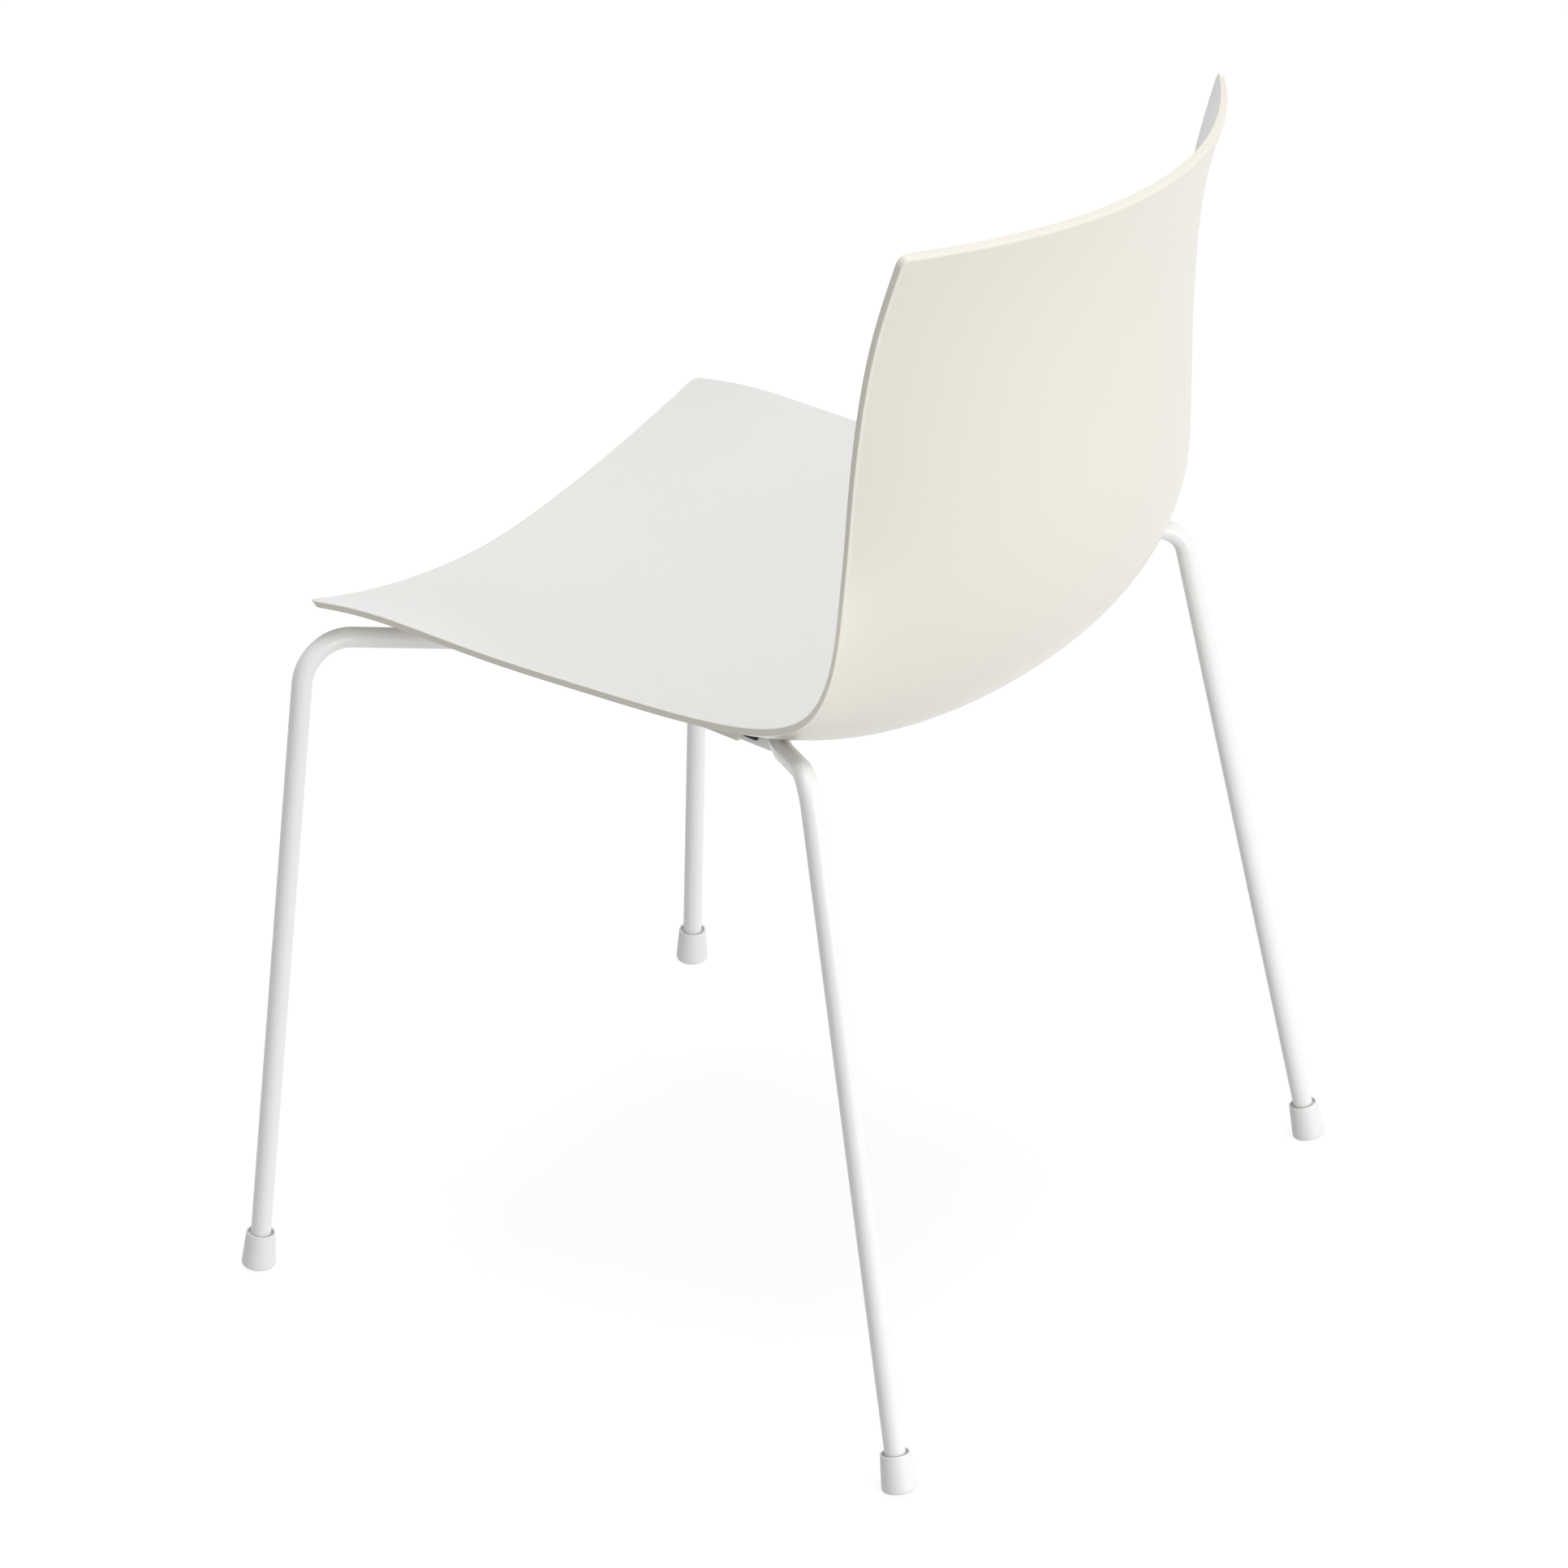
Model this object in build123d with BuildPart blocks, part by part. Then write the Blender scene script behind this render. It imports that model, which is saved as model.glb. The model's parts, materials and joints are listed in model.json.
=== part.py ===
"""Stacking chair: two-colour moulded shell on a welded tube frame with four legs.

Millimetres, +Z up, the sitter looks towards -Y, +X is the sitter's left.
The origin is on the floor below the middle of the chair.
"""
import os

from build123d import *

# ---------------------------------------------------------------- shell
SHELL_THICKNESS = 5.0
FRONT_THICKNESS = 4.8
TOP_THICKNESS = 6.2
FACE_THICKNESS = 1.5      # white inner skin
FACE_PROUD = 0.2          # the skin stands this much above the ivory rim
FACE_RIM = 0.8            # width of the ivory rim left around the skin
FRONT_CORNER_R = 6.0
TOP_CORNER_R = 6.5
FRONT_CORNER_OUT = 1.8    # the front edge bows this far beyond the side's end
TOP_CORNER_OUT = 0.6      # the side edge is this much wider just below the top corner
TOP_CORNER_UP = 0.5

# Stations along the shell, from the front edge of the seat to the top of the back:
# side edge (y, z), half width, middle (y, z), power of the cross-section curve.
STATIONS = [
    ((-229.5, 495.0), 231.7, (-248.0, 446.5), 1.72),
    ((-196.0, 497.9), 231.7, (-214.6, 441.9), 1.78),
    ((-133.5, 495.0), 231.7, (-145.5, 435.7), 1.87),
    ((-76.6, 490.4), 231.7, (-83.7, 432.4), 1.95),
    ((-19.6, 488.2), 231.7, (-24.5, 429.4), 2.00),
    ((40.6, 486.7), 231.7, (36.8, 425.9), 2.07),
    ((97.1, 488.1), 231.7, (97.6, 427.8), 2.14),
    ((125.7, 492.4), 231.7, (131.6, 436.0), 2.17),
    ((156.0, 507.4), 231.1, (171.1, 454.3), 2.19),
    ((168.8, 532.1), 228.0, (202.4, 479.1), 2.19),
    ((171.7, 556.9), 223.3, (227.5, 512.8), 2.18),
    ((170.6, 579.6), 217.0, (244.0, 550.1), 2.18),
    ((169.8, 603.3), 211.6, (250.6, 585.5), 2.17),
    ((171.2, 656.8), 206.6, (251.6, 653.6), 2.15),
    ((176.3, 708.0), 204.8, (250.8, 710.1), 2.12),
    ((186.4, 762.2), 202.8, (254.8, 765.2), 2.08),
    ((202.2, 815.5), 199.8, (268.7, 812.9), 2.05),
]
THICKNESSES = [FRONT_THICKNESS] + [SHELL_THICKNESS] * 12 + [5.3, 5.6, 5.8, TOP_THICKNESS]
SECTION_STEPS = 8         # spline points on each half of a cross-section

# ---------------------------------------------------------------- frame
TUBE_R = 7.0
TUBE_WALL = 1.5
FRONT_FOOT = (271.9, -263.0, 0.4)      # leg axis where it meets the floor side of the glide
REAR_FOOT = (280.0, 261.2, 1.0)
FRONT_LEG_SLOPE = (-0.0718, 0.0744)    # sideways and rearward run per millimetre of height
REAR_LEG_SLOPE = (-0.0885, -0.2086)
FRONT_KNEE_Z = 471.5
REAR_KNEE_Z = 471.5
FRONT_KNEE_R = 29.5
REAR_KNEE_R = 20.5
FRONT_HUB = (30.0, -122.0, 414.0)      # where the front tube turns level under the seat
REAR_ELBOW = (180.0, 108.5, 450.5)     # second bend of the rear tube
REAR_HUB = (92.0, 46.0, 411.5)         # where the rear tube turns level under the seat
TUBE_START = 4.0                       # the tube stands on the floor of the glide

RAIL_REAR = (0.0, 62.0, 408.0)         # middle of the frame just behind the rear tube
RAIL_X = 96.5
RAIL_WIDTH = 6.0
RAIL_HEIGHT = 14.0
RAIL_REACH = 219.0                     # the rails end this far forward of RAIL_REAR
RAIL_TRIM = 12.5                       # the rails start this far forward of RAIL_REAR
RAIL_TILT = 6.45                       # the rails rise towards the front

TAB_LENGTH = 28.0
TAB_WIDTH = 26.0
TAB_THICKNESS = 3.0
TAB_STATIONS = (45.0, 150.0)           # along the rail, forward of RAIL_REAR
TAB_HOLE_R = 3.3

BOSS_R = 10.0
BOSS_DRAFT_R = 12.0
BOSS_REACH = 30.0
SHELL_EMBED = 2.5                      # ribs and bosses run this deep into the shell
INSERT_R = 4.0
INSERT_LENGTH = 5.0
SCREW_R = 3.0
SCREW_LENGTH = 8.5
SCREW_HEAD_R = 5.25
SCREW_HEAD_HEIGHT = 3.0
SCREW_SOCKET = 4.0                     # across flats
WASHER_R = 6.5
WASHER_THICKNESS = 1.0

RIB_X = 104.0
RIB_WIDTH = 6.0
RIB_REAR = 36.0                        # along the rail, forward of RAIL_REAR
RIB_FRONT = 196.0
RIB_DROP = -4.7                        # lower edge below the rail's centre line

PAD_WIDTH = 4.0
PAD_LENGTH = 10.4
PAD_HEIGHT = 7.3
PAD_DROP = -1.5                        # lower end below the rail's centre line
PAD_STATIONS = (29.5, 202.5)           # middle of the pads along the rail

# ---------------------------------------------------------------- glides
GLIDE_TOP_R = 10.0
GLIDE_BOTTOM_R = 12.0
GLIDE_HEIGHT = 26.0
GLIDE_MOUTH_R = 8.7
GLIDE_MOUTH_DEPTH = 3.0
GLIDE_FLOOR = 4.0
GLIDE_CLEARANCE = 0.05
GLIDE_FOOT_ROUND = 2.6                 # rounding of the lower outer edge
GLIDE_RIM_ROUND = 0.6                  # rounding of both edges of the mouth

SIDES = {"left": 1, "right": -1}


def section_plane(side, middle):
    """Plane of one cross-section: origin mid-shell, local X across, local Y to the edge."""
    run = side[0] - middle[0]
    rise = side[1] - middle[1]
    return Plane(origin=(0, middle[0], middle[1]), x_dir=(1, 0, 0), z_dir=(0, -rise, run))


def section_points(side, half_width, middle, power, shift, rim):
    """Points of one cross-section curve, moved by shift along the local Y axis."""
    depth = ((side[0] - middle[0]) ** 2 + (side[1] - middle[1]) ** 2) ** 0.5
    reach = (half_width - rim) / half_width
    points = []
    for step in range(-SECTION_STEPS, SECTION_STEPS + 1):
        v = reach * step / SECTION_STEPS
        points.append((half_width * v, depth * abs(v) ** power + shift))
    return points


def band_section(station, top_shift, bottom_shift, rim=0.0):
    """Closed sketch of one cross-section between two shifts."""
    side, half_width, middle, power = station
    top = section_points(side, half_width, middle, power, top_shift, rim)
    bottom = section_points(side, half_width, middle, power, bottom_shift, rim)
    with BuildSketch(section_plane(side, middle)) as section:
        with BuildLine():
            Spline(*top)
            Line(top[-1], bottom[-1])
            Spline(*bottom)
            Line(bottom[0], top[0])
        make_face()
    return section.sketch


def moved_towards(station, neighbour, distance):
    """A station moved a little along the shell towards its neighbour."""
    moved = []
    for here, there in ((station[0], neighbour[0]), (station[2], neighbour[2])):
        length = ((there[0] - here[0]) ** 2 + (there[1] - here[1]) ** 2) ** 0.5
        part = distance / length
        moved.append((here[0] + part * (there[0] - here[0]), here[1] + part * (there[1] - here[1])))
    return (moved[0], station[1], moved[1], station[3])


face_stations = list(STATIONS)
face_stations[0] = moved_towards(STATIONS[0], STATIONS[1], FACE_RIM)
face_stations[-1] = moved_towards(STATIONS[-1], STATIONS[-2], FACE_RIM)

# Corner rounding: the square corner outside each arc is cut away.
front_side, front_half_width = STATIONS[0][0], STATIONS[0][1]
front_corner_x = front_half_width - FRONT_CORNER_R
front_corner_y = front_side[0] - FRONT_CORNER_OUT + FRONT_CORNER_R
top_side, top_half_width = STATIONS[-1][0], STATIONS[-1][1]
top_corner_x = top_half_width + TOP_CORNER_OUT - TOP_CORNER_R
top_corner_z = top_side[1] + TOP_CORNER_UP - TOP_CORNER_R


def corner_waste(inset):
    """Solid outside the four rounded corners, for an outline inset from the shell's."""
    margin = 8.0
    with BuildPart() as waste:
        for side in SIDES.values():
            size = FRONT_CORNER_R - inset + margin
            with BuildSketch(Plane.XY.offset(400)):
                with Locations((side * (front_corner_x + size / 2), front_corner_y - size / 2)):
                    Rectangle(size, size)
                with Locations((side * front_corner_x, front_corner_y)):
                    Circle(FRONT_CORNER_R - inset, mode=Mode.SUBTRACT)
            extrude(amount=150)
            size = TOP_CORNER_R - inset + margin
            with BuildSketch(Plane.XZ.offset(-320)):
                with Locations((side * (top_corner_x + size / 2), top_corner_z + size / 2)):
                    Rectangle(size, size)
                with Locations((side * top_corner_x, top_corner_z)):
                    Circle(TOP_CORNER_R - inset, mode=Mode.SUBTRACT)
            extrude(amount=200)
    return waste.part


shell_waste = corner_waste(0.0)
face_waste = corner_waste(FACE_RIM)

# Rail frame of reference: origin between the rails behind the rear tube, local Y to the rear.
rail_plane = Plane(origin=RAIL_REAR, x_dir=(1, 0, 0)).rotated((-RAIL_TILT, 0, 0))
screw_points = [(side * (RAIL_X - RAIL_WIDTH / 2 - TAB_LENGTH / 2), -station)
                for side in SIDES.values() for station in TAB_STATIONS]
tab_top = RAIL_HEIGHT / 2
rail_axis = Axis(rail_plane.origin, rail_plane.z_dir)

with BuildPart() as seat_face:
    for station in face_stations:
        add(band_section(station, FACE_PROUD, -FACE_THICKNESS, FACE_RIM))
    loft()
    add(face_waste, mode=Mode.SUBTRACT)
seat_face.part.label = "seat_face"

# Everything moulded below the seat is trimmed to this zone under the shell.
with BuildPart() as underside_zone:
    for station in STATIONS[:9]:
        add(band_section(station, -SHELL_EMBED, -60.0))
    loft()

with BuildPart() as ribs_and_bosses:
    with BuildSketch(rail_plane.offset(tab_top)) as boss_feet:
        with Locations(*screw_points):
            Circle(BOSS_R)
    extrude(amount=BOSS_REACH, taper=-4)
    with BuildSketch(rail_plane.offset(RIB_DROP)) as rib_feet:
        for side in SIDES.values():
            with Locations((side * RIB_X, -(RIB_REAR + RIB_FRONT) / 2)):
                Rectangle(RIB_WIDTH, RIB_FRONT - RIB_REAR)
    extrude(amount=BOSS_REACH)
    add(underside_zone.part, mode=Mode.INTERSECT)

with BuildPart() as seat_shell:
    for station, thickness in zip(STATIONS, THICKNESSES):
        add(band_section(station, 0.0, -thickness))
    loft()
    add(shell_waste, mode=Mode.SUBTRACT)
    add(ribs_and_bosses.part)
    add(seat_face.part, mode=Mode.SUBTRACT)
    with BuildSketch(rail_plane.offset(tab_top)):
        with Locations(*screw_points):
            Circle(INSERT_R)
    extrude(amount=INSERT_LENGTH, mode=Mode.SUBTRACT)
seat_shell.part.label = "seat_shell"


def on_leg(foot, slope, height):
    """Point of a leg axis at a height above the foot point."""
    rise = height - foot[2]
    return (foot[0] + slope[0] * rise, foot[1] + slope[1] * rise, height)


def mirrored(point):
    return (-point[0], point[1], point[2])


def leg_plane(foot, slope, side):
    """Plane across a leg axis at its foot point, facing up the leg."""
    return Plane(origin=(side * foot[0], foot[1], foot[2]), z_dir=(side * slope[0], slope[1], 1))


front_half = [
    on_leg(FRONT_FOOT, FRONT_LEG_SLOPE, FRONT_FOOT[2] + TUBE_START),
    on_leg(FRONT_FOOT, FRONT_LEG_SLOPE, FRONT_KNEE_Z),
    FRONT_HUB,
]
rear_half = [
    on_leg(REAR_FOOT, REAR_LEG_SLOPE, REAR_FOOT[2] + TUBE_START),
    on_leg(REAR_FOOT, REAR_LEG_SLOPE, REAR_KNEE_Z),
    REAR_ELBOW,
    REAR_HUB,
]

with BuildPart() as front_leg_tube:
    with BuildLine() as front_path:
        FilletPolyline(
            front_half + [mirrored(point) for point in reversed(front_half)],
            radius=(FRONT_KNEE_R, 35.0, 35.0, FRONT_KNEE_R),
        )
    with BuildSketch(Plane(origin=front_path.line @ 0, z_dir=front_path.line % 0)):
        Circle(TUBE_R)
        Circle(TUBE_R - TUBE_WALL, mode=Mode.SUBTRACT)
    sweep()
front_leg_tube.part.label = "front_leg_tube"

with BuildPart() as rear_leg_tube:
    with BuildLine() as rear_path:
        FilletPolyline(
            rear_half + [mirrored(point) for point in reversed(rear_half)],
            radius=(REAR_KNEE_R, 30.0, 30.0, 30.0, 30.0, REAR_KNEE_R),
        )
    with BuildSketch(Plane(origin=rear_path.line @ 0, z_dir=rear_path.line % 0)):
        Circle(TUBE_R)
        Circle(TUBE_R - TUBE_WALL, mode=Mode.SUBTRACT)
    sweep()
rear_leg_tube.part.label = "rear_leg_tube"

rails = {}
for name, side in SIDES.items():
    with BuildPart() as rail:
        with BuildSketch(rail_plane.offset(-RAIL_HEIGHT / 2)):
            with Locations((side * RAIL_X, -(RAIL_TRIM + RAIL_REACH) / 2)):
                Rectangle(RAIL_WIDTH, RAIL_REACH - RAIL_TRIM)
        extrude(amount=RAIL_HEIGHT)
        with BuildSketch(Plane(origin=front_path.line @ 0, z_dir=front_path.line % 0)):
            Circle(TUBE_R)
        sweep(path=front_path.line, mode=Mode.SUBTRACT)
        with BuildSketch(Plane(origin=rear_path.line @ 0, z_dir=rear_path.line % 0)):
            Circle(TUBE_R)
        sweep(path=rear_path.line, mode=Mode.SUBTRACT)
    rails[name] = rail.part.solids().sort_by(SortBy.VOLUME)[-1]
    rails[name].label = f"{name}_rail"

tabs = {}
pads = {}
for side_name, side in SIDES.items():
    for end_name, station in zip(("rear", "front"), TAB_STATIONS):
        name = f"{end_name}_{side_name}_tab"
        with BuildPart() as tab:
            with BuildSketch(rail_plane.offset(tab_top - TAB_THICKNESS)):
                with Locations((side * (RAIL_X - RAIL_WIDTH / 2 - TAB_LENGTH / 2), -station)):
                    Rectangle(TAB_LENGTH, TAB_WIDTH)
            extrude(amount=TAB_THICKNESS)
            inner_side = Axis.X if side < 0 else Axis((0, 0, 0), (-1, 0, 0))
            fillet(tab.edges().filter_by(rail_axis).group_by(inner_side)[-1], 8.0)
            with BuildSketch(rail_plane):
                with Locations((side * (RAIL_X - RAIL_WIDTH / 2 - TAB_LENGTH / 2), -station)):
                    Circle(TAB_HOLE_R)
            extrude(amount=RAIL_HEIGHT, mode=Mode.SUBTRACT)
        tab.part.label = name
        tabs[name] = tab.part
    for end_name, station in zip(("rear", "front"), PAD_STATIONS):
        name = f"{end_name}_{side_name}_stacking_pad"
        with BuildPart() as pad:
            with BuildSketch(rail_plane.offset(PAD_DROP)):
                with Locations((side * (RAIL_X + RAIL_WIDTH / 2 + PAD_WIDTH / 2), -station)):
                    Rectangle(PAD_WIDTH, PAD_LENGTH)
            extrude(amount=PAD_HEIGHT)
            fillet(pad.edges().filter_by(rail_axis), 1.5)
        pad.part.label = name
        pads[name] = pad.part

with BuildPart() as threaded_inserts:
    with BuildSketch(rail_plane.offset(tab_top)):
        with Locations(*screw_points):
            Circle(INSERT_R)
            Circle(SCREW_R, mode=Mode.SUBTRACT)
    extrude(amount=INSERT_LENGTH)
threaded_inserts.part.label = "threaded_inserts"

with BuildPart() as screw_washers:
    with BuildSketch(rail_plane.offset(tab_top - TAB_THICKNESS - WASHER_THICKNESS)):
        with Locations(*screw_points):
            Circle(WASHER_R)
            Circle(TAB_HOLE_R, mode=Mode.SUBTRACT)
    extrude(amount=WASHER_THICKNESS)
screw_washers.part.label = "screw_washers"

head_face = tab_top - TAB_THICKNESS - WASHER_THICKNESS
with BuildPart() as mounting_screws:
    with BuildSketch(rail_plane.offset(head_face)):
        with Locations(*screw_points):
            Circle(SCREW_R)
    extrude(amount=SCREW_LENGTH)
    with BuildSketch(rail_plane.offset(head_face)):
        with Locations(*screw_points):
            Circle(SCREW_HEAD_R)
    extrude(amount=-SCREW_HEAD_HEIGHT)
    with BuildSketch(rail_plane.offset(head_face - SCREW_HEAD_HEIGHT)):
        with Locations(*screw_points):
            RegularPolygon(SCREW_SOCKET / 2, 6, major_radius=False)
    extrude(amount=SCREW_HEAD_HEIGHT - 1.0, mode=Mode.SUBTRACT)
mounting_screws.part.label = "mounting_screws"

glides = {}
feet = {"front": (FRONT_FOOT, FRONT_LEG_SLOPE), "rear": (REAR_FOOT, REAR_LEG_SLOPE)}
for end_name, (foot, slope) in feet.items():
    for side_name, side in SIDES.items():
        name = f"{end_name}_{side_name}_glide"
        axis_plane = leg_plane(foot, slope, side)
        across_plane = Plane(axis_plane.origin, x_dir=axis_plane.x_dir, z_dir=-axis_plane.y_dir)
        with BuildPart() as glide:
            with BuildSketch(across_plane) as glide_profile:
                with BuildLine():
                    Polyline(
                        (0, 0),
                        (GLIDE_BOTTOM_R, 0),
                        (GLIDE_TOP_R, GLIDE_HEIGHT),
                        (GLIDE_MOUTH_R, GLIDE_HEIGHT),
                        (GLIDE_MOUTH_R, GLIDE_HEIGHT - GLIDE_MOUTH_DEPTH),
                        (TUBE_R + GLIDE_CLEARANCE, GLIDE_HEIGHT - GLIDE_MOUTH_DEPTH),
                        (TUBE_R + GLIDE_CLEARANCE, GLIDE_FLOOR),
                        (0, GLIDE_FLOOR),
                        close=True,
                    )
                make_face()
                fillet(glide_profile.vertices().sort_by(Axis.X)[-1], GLIDE_FOOT_ROUND)
                fillet(glide_profile.vertices().group_by(Axis.Y)[-1], GLIDE_RIM_ROUND)
            revolve(axis=Axis(axis_plane.origin, axis_plane.z_dir))
            split(bisect_by=Plane.XY, keep=Keep.TOP)
        glide.part.label = name
        glides[name] = glide.part

os.makedirs("parts", exist_ok=True)
pieces = [
    seat_shell.part,
    seat_face.part,
    front_leg_tube.part,
    rear_leg_tube.part,
    threaded_inserts.part,
    screw_washers.part,
    mounting_screws.part,
    *rails.values(),
    *tabs.values(),
    *pads.values(),
    *glides.values(),
]
for piece in pieces:
    export_step(piece, f"parts/{piece.label}.step")
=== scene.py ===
"""Stacking chair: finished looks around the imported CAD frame. Metres, +Z up, the front faces -Y."""

import json
import math

import bpy
import numpy as np
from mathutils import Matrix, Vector
from mathutils.bvhtree import BVHTree

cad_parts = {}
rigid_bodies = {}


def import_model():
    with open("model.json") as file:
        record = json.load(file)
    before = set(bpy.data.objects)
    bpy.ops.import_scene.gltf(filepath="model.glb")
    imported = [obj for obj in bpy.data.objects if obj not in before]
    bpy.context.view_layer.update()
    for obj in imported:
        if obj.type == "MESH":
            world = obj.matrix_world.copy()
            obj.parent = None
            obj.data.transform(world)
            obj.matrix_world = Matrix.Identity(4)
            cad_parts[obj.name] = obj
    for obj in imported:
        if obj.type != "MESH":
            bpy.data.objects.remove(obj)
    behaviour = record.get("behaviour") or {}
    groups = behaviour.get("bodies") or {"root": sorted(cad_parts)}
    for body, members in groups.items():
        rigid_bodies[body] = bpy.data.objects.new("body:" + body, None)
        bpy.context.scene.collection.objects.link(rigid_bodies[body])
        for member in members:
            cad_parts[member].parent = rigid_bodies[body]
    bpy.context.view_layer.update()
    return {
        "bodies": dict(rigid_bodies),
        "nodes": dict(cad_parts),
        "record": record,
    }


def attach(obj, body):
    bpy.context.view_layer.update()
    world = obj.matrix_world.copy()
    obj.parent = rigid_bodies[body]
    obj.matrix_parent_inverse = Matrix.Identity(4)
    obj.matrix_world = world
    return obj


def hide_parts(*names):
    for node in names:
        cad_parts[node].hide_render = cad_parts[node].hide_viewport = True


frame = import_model()
BODY = sorted(frame["bodies"])[0]
MM = 0.001

# ---------------------------------------------------------------- shell surface
# Lengths are millimetres up to the mesh. Each station across the shell, from the front edge to the top
# edge: side edge (y, z), half width, middle (y, z), power of the cross-section curve.
STATIONS = [
    (-229.5, 495.0, 231.7, -248.0, 446.5, 1.72),
    (-196.0, 497.9, 231.7, -214.6, 441.9, 1.78),
    (-133.5, 495.0, 231.7, -145.5, 435.7, 1.87),
    (-76.6, 490.4, 231.7, -83.7, 432.4, 1.95),
    (-19.6, 488.2, 231.7, -24.5, 429.4, 2.00),
    (40.6, 486.7, 231.7, 36.8, 425.9, 2.07),
    (97.1, 488.1, 231.7, 97.6, 427.8, 2.14),
    (125.7, 492.4, 231.7, 131.6, 436.0, 2.17),
    (156.0, 507.4, 231.1, 171.1, 454.3, 2.19),
    (168.8, 532.1, 228.0, 202.4, 479.1, 2.19),
    (171.7, 556.9, 223.3, 227.5, 512.8, 2.18),
    (170.6, 579.6, 217.0, 244.0, 550.1, 2.18),
    (169.8, 603.3, 211.6, 250.6, 585.5, 2.17),
    (171.2, 656.8, 206.6, 251.6, 653.6, 2.15),
    (176.3, 708.0, 204.8, 250.8, 710.1, 2.12),
    (186.4, 762.2, 202.8, 254.8, 765.2, 2.08),
    (202.2, 815.5, 199.8, 268.7, 812.9, 2.05),
]
THICKNESSES = [4.8] + [5.0] * 12 + [5.3, 5.6, 5.8, 6.2]     # one for each station
FRONT_CORNER_R = 6.0
TOP_CORNER_R = 6.5
BORDER = 1.6              # the surface grids end this far inside the outline
SIDE_DRAFT = 0.9          # along the seat, the outer face's side edge is set in by this much
BACK_SIDE_DRAFT = -1.0    # and along the back by this much, so there it stands out
BEND_RUN = 400.0          # where the seat turns into the back
BEND_FADE = 25.0          # the side draft changes over about this length there
FRONT_DRAFT = 4.0         # the outer face is set in by this much at the front edge
TOP_DRAFT = 2.6           # and by this much at the top edge
DRAFT_FADE = 80.0         # those two fade out over this length
CORNER_BLOCK = 30.0       # corner rounding is spread over this much of the grid
FINE_STEPS = 24           # grid steps in each corner block
COARSE_STEP = 6.0         # grid step between the blocks


class Spline:
    """Natural cubic spline through several columns of values."""

    def __init__(self, knots, values):
        self.knots = np.asarray(knots, float)
        self.values = np.asarray(values, float)
        count = len(self.knots)
        gap = np.diff(self.knots)
        slope = np.diff(self.values, axis=0) / gap[:, None]
        matrix = np.zeros((count, count))
        target = np.zeros_like(self.values)
        matrix[0, 0] = matrix[-1, -1] = 1.0
        for i in range(1, count - 1):
            matrix[i, i - 1:i + 2] = gap[i - 1], 2 * (gap[i - 1] + gap[i]), gap[i]
            target[i] = 6 * (slope[i] - slope[i - 1])
        self.second = np.linalg.solve(matrix, target)      # second derivative at each knot

    def __call__(self, at):
        at = np.clip(np.asarray(at, float), self.knots[0], self.knots[-1])
        i = np.clip(np.searchsorted(self.knots, at) - 1, 0, len(self.knots) - 2)
        gap = (self.knots[i + 1] - self.knots[i])[..., None]
        past = (at - self.knots[i])[..., None]
        left = gap - past
        return (
            (self.second[i] * left ** 3 + self.second[i + 1] * past ** 3) / (6 * gap)
            + (self.values[i] / gap - self.second[i] * gap / 6) * left
            + (self.values[i + 1] / gap - self.second[i + 1] * gap / 6) * past
        )


stations = np.array(STATIONS)
middle_runs = np.hypot(*np.diff(stations[:, 3:5], axis=0).T)
side_runs = np.hypot(*np.diff(stations[:, 0:2], axis=0).T)
along = np.concatenate([[0.0], np.cumsum((middle_runs + side_runs) / 2)])
LENGTH = float(along[-1])
profile = Spline(along, np.column_stack([stations, THICKNESSES]))


def shell_points(across, run, shift):
    """Points of the shell in millimetres. across runs from -1 to 1 between the side edges, run goes
    from the front edge to the top edge, and shift is the height above the inner face."""
    p = profile(run)
    side, half, middle, power = p[..., 0:2], p[..., 2], p[..., 3:5], p[..., 5]
    lift = side - middle
    up = lift / np.linalg.norm(lift, axis=-1, keepdims=True)
    rise = np.abs(across) ** power
    yz = middle + lift * rise[..., None] + up * np.asarray(shift)[..., None]
    return np.stack([half * across, yz[..., 0], yz[..., 1]], axis=-1)


def graded(length):
    """Grid lines from 0 to length, close together near both ends."""
    fine = np.linspace(0, CORNER_BLOCK, FINE_STEPS + 1)
    count = max(2, round((length - 2 * CORNER_BLOCK) / COARSE_STEP))
    centre = np.linspace(CORNER_BLOCK, length - CORNER_BLOCK, count + 1)[1:-1]
    return np.concatenate([fine, centre, length - fine[::-1]])


def round_corner(p, q, radius):
    """Moves a point (p, q) of a square corner block, whose corner is at (1, 1), so that the block's
    outline gets a rounded corner and the lines inside follow it less and less. Each line goes up a
    straight leg, round the bend and back along another leg."""
    line = max(p, q)
    if line <= 0:
        return p, q
    bend_r = radius / CORNER_BLOCK * line ** 3
    leg = line - bend_r
    bend = bend_r * math.pi / 2
    walked = (2 * leg + bend) * ((q if p >= q else 2 * line - p) / (2 * line))
    if walked <= leg:
        return line, walked
    if walked <= leg + bend:
        angle = (walked - leg) / bend_r
        return leg + bend_r * math.cos(angle), leg + bend_r * math.sin(angle)
    return leg - (walked - leg - bend), line


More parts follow.
